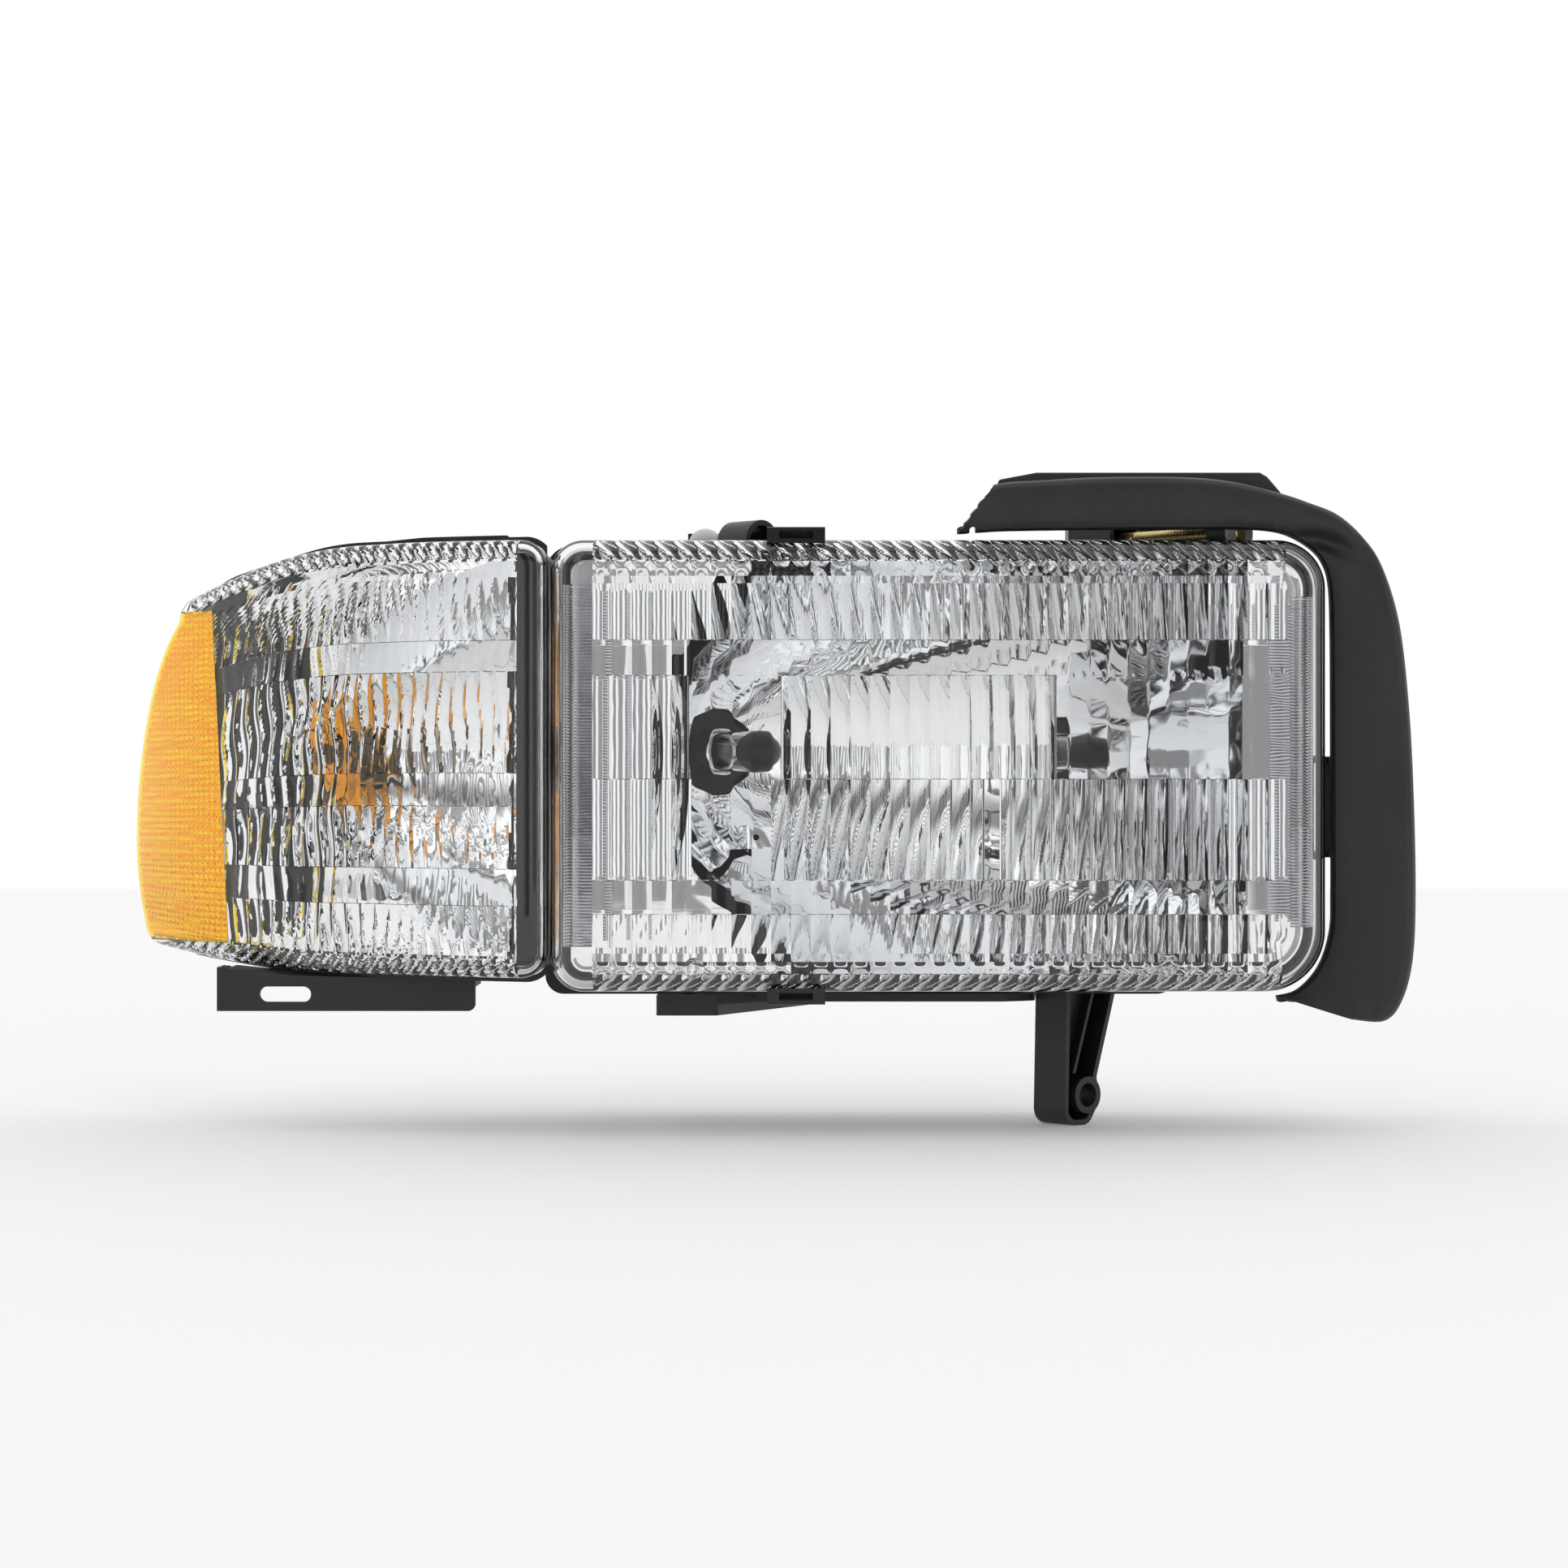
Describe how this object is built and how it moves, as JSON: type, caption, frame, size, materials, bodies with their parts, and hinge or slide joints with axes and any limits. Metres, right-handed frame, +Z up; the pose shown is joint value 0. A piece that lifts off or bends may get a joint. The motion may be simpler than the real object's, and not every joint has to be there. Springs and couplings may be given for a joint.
{
  "type": "car headlamp and corner lamp assembly",
  "caption": "Rectangular composite headlamp with a fluted clear lens, aiming screws, a wrap-round corner lamp with amber side reflector, filler seal and carrier bracket.",
  "frame": {"origin": "centre of the bore in the bracket's lower arm, where the assembly bolts to the vehicle", "axes": "+Z up; -Y out of the headlamp's lens face; +X from the corner lamp towards the filler seal; the vehicle's forward direction is 42 degrees from -Y towards +X"},
  "size_m": [0.5425, 0.1709, 0.2717],
  "materials": {
    "headlamp_lens": "clear moulded acrylic with prisms on its back",
    "lens_sealant": "butyl bead",
    "lens_clip_upper": "gloss black spring clip",
    "lens_clip_lower": "gloss black spring clip",
    "reflector_bowl": "vacuum metallised",
    "headlamp_housing": "moulded, lightly textured",
    "pivot_ball_stud": "zinc plated",
    "pivot_socket": "natural grey nylon",
    "lateral_adjuster_screw": "yellow zinc plated, rolled thread",
    "lateral_adjuster_nut": "natural nylon",
    "vertical_adjuster_screw": "yellow zinc plated, rolled thread",
    "vertical_adjuster_nut": "natural nylon",
    "bulb_base": "glass filled black plastic",
    "bulb_o_ring": "silicone",
    "bulb_collar": "pressed collar",
    "bulb_glass": "hard glass with a black painted tip",
    "bulb_filaments": "tungsten coils on nickel leads",
    "bulb_terminals": "tinned brass blades",
    "bulb_retaining_ring": "ribbed",
    "vent_elbow": "moulded",
    "corner_lens": "clear moulded acrylic with a prism grid",
    "amber_side_lens": "amber moulded acrylic, honeycomb reflex back",
    "corner_housing": "moulded",
    "corner_reflector": "vacuum metallised",
    "corner_gasket": "closed cell foam",
    "turn_socket": "moulded",
    "turn_socket_gasket": "moulded",
    "turn_bulb": "amber coated glass",
    "turn_filament": "tungsten coil on leads",
    "marker_socket": "moulded",
    "marker_socket_gasket": "moulded",
    "marker_bulb": "clear glass",
    "marker_filament": "tungsten coil on leads",
    "corner_bracket": "moulded",
    "mounting_bracket": "moulded, fine grain",
    "filler_seal": "soft moulded, satin",
    "seal_push_pins": "nylon",
    "corner_screws": "zinc plated"
  },
  "bodies": {
    "bracket": {"mounting_bracket": "mounting_bracket", "filler_seal": "filler_seal", "seal_push_pins": "seal_push_pins", "pivot_ball_stud": "pivot_ball_stud", "corner_lens": "corner_lens", "amber_side_lens": "amber_side_lens", "corner_housing": "corner_housing", "corner_reflector": "corner_reflector", "corner_gasket": "corner_gasket", "corner_bracket": "corner_bracket", "corner_screws": "corner_screws"},
    "pivot": {"pivot_socket": "pivot_socket"},
    "headlamp": {"headlamp_lens": "headlamp_lens", "lens_sealant": "lens_sealant", "lens_clip_upper": "lens_clip_upper", "lens_clip_lower": "lens_clip_lower", "reflector_bowl": "reflector_bowl", "headlamp_housing": "headlamp_housing", "lateral_adjuster_nut": "lateral_adjuster_nut", "vertical_adjuster_nut": "vertical_adjuster_nut", "bulb_base": "bulb_base", "bulb_o_ring": "bulb_o_ring", "bulb_collar": "bulb_collar", "bulb_glass": "bulb_glass", "bulb_filaments": "bulb_filaments", "bulb_terminals": "bulb_terminals", "vent_elbow": "vent_elbow"},
    "lateral_screw": {"lateral_adjuster_screw": "lateral_adjuster_screw"},
    "vertical_screw": {"vertical_adjuster_screw": "vertical_adjuster_screw"},
    "bulb_ring": {"bulb_retaining_ring": "bulb_retaining_ring"},
    "turn_holder": {"turn_socket": "turn_socket", "turn_socket_gasket": "turn_socket_gasket", "turn_bulb": "turn_bulb", "turn_filament": "turn_filament"},
    "marker_holder": {"marker_socket": "marker_socket", "marker_socket_gasket": "marker_socket_gasket", "marker_bulb": "marker_bulb", "marker_filament": "marker_filament"}
  },
  "joints": [
    {"name": "lateral_aim", "type": "hinge", "parent": "bracket", "child": "pivot", "pos_m": [-0.155, -0.012, 0.231], "axis": [0, 0, 1], "range_deg": [-1.5, 1.5]},
    {"name": "vertical_aim", "type": "hinge", "parent": "pivot", "child": "headlamp", "pos_m": [-0.155, -0.012, 0.231], "axis": [1, 0, 0], "range_deg": [-2.5, 2.5]},
    {"name": "lateral_screw_turn", "type": "hinge", "parent": "headlamp", "child": "lateral_screw", "pos_m": [0.0675, -0.03, 0.235], "axis": [0.6691, -0.7431, 0], "range_deg": [-827, 827]},
    {"name": "vertical_screw_turn", "type": "hinge", "parent": "headlamp", "child": "vertical_screw", "pos_m": [-0.197, 0.042, 0.069], "axis": [0, -1, 0], "range_deg": [-1455, 1455]},
    {"name": "bulb_ring_turn", "type": "hinge", "parent": "headlamp", "child": "bulb_ring", "pos_m": [-0.1534, 0.0523, 0.145], "axis": [0.6691, -0.7431, 0], "range_deg": [0, 35]},
    {"name": "turn_socket_turn", "type": "hinge", "parent": "bracket", "child": "turn_holder", "pos_m": [-0.292, 0.025, 0.143], "axis": [0, 1, 0], "range_deg": [0, 45]},
    {"name": "marker_socket_turn", "type": "hinge", "parent": "bracket", "child": "marker_holder", "pos_m": [-0.3605, 0.0385, 0.119], "axis": [0.4981, 0.8671, 0], "range_deg": [0, 45]}
  ],
  "couplings": [
    {"joint": "lateral_screw_turn", "follows": "lateral_aim", "ratio": 550.43},
    {"joint": "vertical_screw_turn", "follows": "vertical_aim", "ratio": 581.64}
  ]
}
